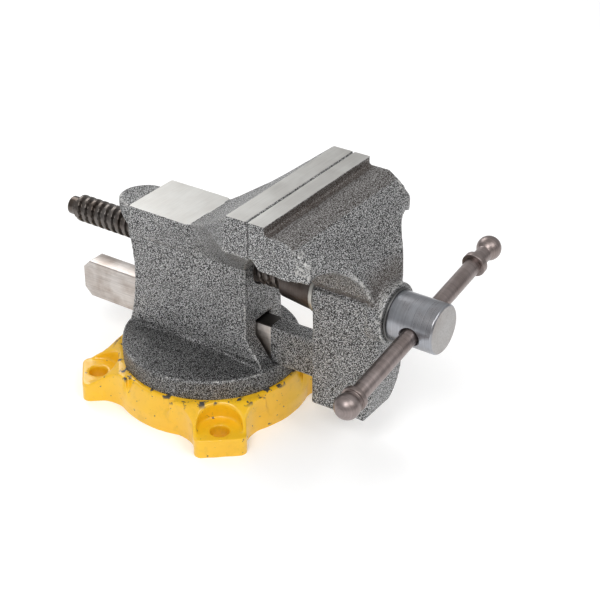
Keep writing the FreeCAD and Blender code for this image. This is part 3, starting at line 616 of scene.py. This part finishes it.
def slide_bar():
    """The milled end of the slide bar, with chamfered edges and tip."""
    lap, corner = 0.3 * MM, 5 * MM
    start, stop = JAW + ROOT_END - lap, jaw_high.y
    side = [(start, BAR_LOW), (stop - corner, BAR_LOW), (stop, BAR_LOW + corner),
            (stop, BAR_HIGH - corner), (stop - corner, BAR_HIGH), (start, BAR_HIGH)]
    shell = bmesh.new()
    faces = [[shell.verts.new((x, y, z)) for y, z in side] for x in (-BAR_HALF, BAR_HALF)]
    for loop in faces:
        shell.faces.new(loop)
    for k in range(len(side)):
        following = (k + 1) % len(side)
        shell.faces.new([faces[0][k], faces[0][following], faces[1][following], faces[1][k]])
    bmesh.ops.recalc_face_normals(shell, faces=shell.faces)
    mesh = bpy.data.meshes.new("slide_bar")
    shell.to_mesh(mesh)
    shell.free()
    piece = new_object("slide_bar", mesh, BAR_STEEL)
    soften = piece.modifiers.new("chamfer", "BEVEL")
    soften.width = 0.55 * MM
    soften.segments = 3
    soften.limit_method = "ANGLE"
    settle(piece)
    crisp(piece.data, 50)
    return place(piece, "front_jaw", "hammered_paint", "moving_jaw")


def base_casting():
    """Yellow four-lugged base."""
    bottom = Plane(2, 0.0, -1)
    seat = Plane(2, SEAM, 1, lambda co: off_axis(co) < 54 * MM)
    piece = casting("swivel_base", "swivel_base_casting", [bottom, seat], 6, 13,
                    materials=(YELLOW, YELLOW))
    tidy_skin(piece)
    co = points(piece.data)
    mark(piece.data, "seam", climb(co[:, 2], SEAM - 3 * MM, SEAM) * (off_axis(co) > 45 * MM))
    return place(piece, "base", "base_paint", "swivel_base")


# ---------------------------------------------------------------- screw and handle

def screw_head():
    """Cross-drilled head and plain shank."""
    washer_low, washer_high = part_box("head_washer")
    front, rear = screw_low.y, washer_low.y
    tail, break_edge = JAW + 9.0 * MM, 0.9 * MM
    profile = [(front, 0), (front, HEAD_RADIUS - break_edge), (front + break_edge, HEAD_RADIUS),
               (rear, HEAD_RADIUS), (rear, SHANK_RADIUS), (tail, SHANK_RADIUS), (tail, 0)]
    piece = lathe("screw_head", profile, (0, 0, SCREW_Z), AXIS_Y, HEAD_STEEL, FACE_STEEL, segments=128)
    tilt = (math.cos(HANDLE_TILT), 0, math.sin(HANDLE_TILT))
    reach = HEAD_RADIUS + 4 * MM
    bore, mouth = 4.83 * MM, 5.5 * MM
    flare = math.sqrt(HEAD_RADIUS ** 2 - mouth ** 2)
    half = [(reach, 0), (reach, mouth + 3 * MM), (flare, mouth), (flare - break_edge, bore)]
    outline = [(-along, radius) for along, radius in half] + half[::-1]
    cutter = lathe("bore", outline, (0, HANDLE_Y, SCREW_Z), tilt, HEAD_STEEL,
                   segments=64, radius=0.01 * MM)
    carve(piece, cutter)
    for polygon in piece.data.polygons:
        if polygon.center.y < front + 0.5 * MM and polygon.normal.y < -0.8:
            polygon.material_index = 1
    crisp(piece.data, 40)
    return place(piece, "screw", "head_steel", "lead_screw")


def screw_thread():
    """Right-hand helical thread."""
    start, stop = JAW + 8.0 * MM, screw_high.y
    crest, root, plain = 8.0 * MM, 5.9 * MM, 5.5 * MM
    count, segments = int((stop - start) / (PITCH / 14)), 44
    shell = bmesh.new()
    rows = []
    for i in range(count + 1):
        y = start + (stop - start) * i / count
        fade = min(1.0, (stop - 4 * MM - y) / (3 * MM), (y - start + 1 * MM) / (2 * MM))
        row = []
        for k in range(segments):
            phase = (y / PITCH - k / segments) % 1
            rise = min(max((0.34 - abs(phase - 0.5)) / 0.13, 0.0), 1.0)
            rise = rise * rise * (3 - 2 * rise)
            reach = plain + (root + (crest - root) * rise - plain) * max(fade, 0.0)
            turn = 2 * math.pi * k / segments
            row.append(shell.verts.new((reach * math.sin(turn), y, SCREW_Z + reach * math.cos(turn))))
        rows.append(row)
    for one, two in zip(rows, rows[1:]):
        for k in range(segments):
            shell.faces.new([one[k], two[k], two[(k + 1) % segments], one[(k + 1) % segments]])
    shell.faces.new(rows[0])
    shell.faces.new(rows[-1])
    bmesh.ops.recalc_face_normals(shell, faces=shell.faces)
    mesh = bpy.data.meshes.new("screw_thread")
    shell.to_mesh(mesh)
    shell.free()
    crisp(mesh, 60)
    return place(new_object("screw_thread", mesh, SCREW_STEEL), "screw", "screw_steel", "lead_screw")


def ring_on_screw(node, body, slot, material, edge=0.4 * MM):
    """A washer rebuilt from its CAD box, with softened edges."""
    low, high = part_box(node)
    outer, inner = (high.z - low.z) / 2, SHANK_RADIUS + 0.1 * MM
    profile = [(low.y, inner), (low.y, outer), (high.y, outer), (high.y, inner)]
    piece = lathe(node + "_ring", profile, (0, 0, SCREW_Z), AXIS_Y, material, ring=True, radius=edge)
    return place(piece, body, slot, node)


def thrust_collar():
    """Tapered collar, wide at the front."""
    low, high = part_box("thrust_collar")
    front, tail, inner = 12.9 * MM, 10.8 * MM, SHANK_RADIUS + 0.03 * MM
    profile = [(low.y, inner), (low.y, front), (high.y, tail), (high.y, inner)]
    piece = lathe("thrust_collar_turned", profile, (0, 0, SCREW_Z), AXIS_Y, COLLAR_STEEL, ring=True,
                  radius=0.6 * MM)
    return place(piece, "screw", "screw_steel", "thrust_collar")


def ball(centre, radius, start, steps=18):
    """Profile points round a ball, from an angle in front of its centre to its far pole."""
    angles = [start + (math.pi - start) * i / steps for i in range(steps)]
    return [(centre - radius * math.cos(a), radius * math.sin(a)) for a in angles] + [(centre + radius, 0)]


def handle():
    """Tommy bar with a long necked knob on the right and a short collared one on the left."""
    origin = (0, HANDLE_Y, SCREW_Z)
    right = (math.cos(HANDLE_TILT), 0, math.sin(HANDLE_TILT))
    left = tuple(-part for part in right)
    bar, short, long = 4.75 * MM, 65.4 * MM, 58.0 * MM
    knob, centre = 7.0 * MM, 73.8 * MM
    rod = [(-short, 0), (-short, bar), (long, bar), (long, 0)]
    place(lathe("handle_rod", rod, origin, right, HANDLE_STEEL), "handle", "handle_steel", "handle_bar")
    collar, lip, waist = long - 2.5 * MM, long + 1.3 * MM, long + 5.8 * MM
    neck = [(lip, 5.9 * MM), (lip + 1.2 * MM, 5.1 * MM), (waist, 4.6 * MM), (centre - 5.6 * MM, 4.5 * MM)]
    long_profile = [(collar, bar), (collar, knob), (lip, knob)] + neck + ball(centre, knob, 0.74)
    place(lathe("handle_knob_long", long_profile, origin, right, HANDLE_STEEL, radius=0.5 * MM),
          "handle", "handle_steel", "handle_knob_right")
    edge, groove = short + 2.8 * MM, short + 3.7 * MM
    short_profile = [(short, 0), (short, knob), (edge, knob), (edge, 5.9 * MM), (groove, 5.9 * MM)]
    short_profile += ball(centre - 0.08 * MM, knob, 1.0)
    place(lathe("handle_knob_short", short_profile, origin, left, HANDLE_STEEL, radius=0.4 * MM),
          "handle", "handle_steel", "handle_knob_left")


# ---------------------------------------------------------------- small CAD pieces

def finish_node(node, material, width=0.3 * MM):
    """A CAD piece keeps its shape and gets softened edges and its own steel."""
    piece = frame["nodes"][node]
    weld = piece.modifiers.new("weld", "WELD")
    weld.merge_threshold = WELD
    soften = piece.modifiers.new("edges", "BEVEL")
    soften.width = width
    soften.segments = 2
    soften.limit_method = "ANGLE"
    soften.angle_limit = math.radians(40)
    piece.data.materials.clear()
    piece.data.materials.append(material)


fixed_casting()
moving_casting()
slide_bar()
base_casting()
screw_head()
screw_thread()
ring_on_screw("head_washer", "front_jaw", "plain_fasteners", DARK_WASHER)
ring_on_screw("rear_washer", "front_jaw", "plain_fasteners", WASHER_STEEL)
thrust_collar()
handle()
for node in ("collar_pin", "nut_screw", "swivel_bolt", "swivel_lock_washer", "swivel_clamp_plate"):
    finish_node(node, FASTENER_STEEL)
finish_node("spindle_nut", NUT_IRON)


# ---------------------------------------------------------------- stage, light and camera

def floor():
    surface = Surface("pale_floor", roughness=0.75)
    tone = surface.ramp(surface.noise(3.0, 3.0), [(0.3, 0.90), (0.7, 0.93)])
    surface.feed(base_color=tone, emission_color=tone)
    surface.shader.inputs["Emission Strength"].default_value = 0.18
    mesh = bpy.data.meshes.new("floor")
    reach = 3.0
    corners = [(-reach, -reach, 0), (reach, -reach, 0), (reach, reach, 0), (-reach, reach, 0)]
    mesh.from_pydata(corners, [], [(0, 1, 2, 3)])
    new_object("floor", mesh, surface.material)


def lamp(name, place_at, size, power, aim=(0, -0.02, 0.08)):
    data = bpy.data.lights.new(name, "AREA")
    data.shape = "DISK"
    data.size = size
    data.energy = power
    lamp_object = bpy.data.objects.new(name, data)
    bpy.context.scene.collection.objects.link(lamp_object)
    lamp_object.location = place_at
    lamp_object.rotation_euler = (Vector(aim) - Vector(place_at)).to_track_quat("-Z", "Y").to_euler()


def studio():
    world = bpy.data.worlds.new("studio")
    world.use_nodes = True
    bpy.context.scene.world = world
    tree = world.node_tree
    place_in = tree.nodes.new("ShaderNodeTexCoord")
    split = tree.nodes.new("ShaderNodeSeparateXYZ")
    ramp = tree.nodes.new("ShaderNodeValToRGB")
    ramp.color_ramp.elements[0].position = 0.0
    ramp.color_ramp.elements[0].color = (0.55, 0.55, 0.56, 1)
    ramp.color_ramp.elements[1].position = 0.7
    ramp.color_ramp.elements[1].color = (1.0, 1.0, 1.0, 1)
    tree.links.new(place_in.outputs["Generated"], split.inputs[0])
    tree.links.new(split.outputs["Z"], ramp.inputs["Fac"])
    tree.links.new(ramp.outputs["Color"], tree.nodes["Background"].inputs["Color"])
    tree.nodes["Background"].inputs["Strength"].default_value = 0.62
    lamp("key", (-0.9, -0.35, 1.1), 0.6, 7.5)
    lamp("fill", (-0.1, -1.0, 1.2), 0.8, 5.5)
    lamp("back", (0.5, 0.9, 0.9), 0.7, 4.5)
    bpy.context.scene.view_settings.view_transform = "Standard"


def camera():
    """Long lens from the left of the handle, looking down at the vise."""
    azimuth, elevation, roll = math.radians(-56.159), math.radians(30.7), math.radians(0.206)
    level = Vector((math.sin(azimuth), -math.cos(azimuth), 0))
    back = level * math.cos(elevation) + Vector((0, 0, math.sin(elevation)))
    right = Vector((0, 0, 1)).cross(back).normalized()
    up = back.cross(right)
    turn = Matrix.Rotation(roll, 3, back)
    right, up = turn @ right, turn @ up
    target = Vector((0, JAW, 0.080))
    data = bpy.data.cameras.new("camera")
    data.lens, data.sensor_width = 91.29, 36
    eye = bpy.data.objects.new("camera", data)
    bpy.context.scene.collection.objects.link(eye)
    spot = target - right * 1.078 * MM - up * 2.586 * MM + back * 838.743 * MM
    eye.matrix_world = Matrix.LocRotScale(spot, Matrix((right, up, back)).transposed(), None)
    bpy.context.scene.camera = eye


floor()
studio()
camera()

bpy.context.view_layer.update()
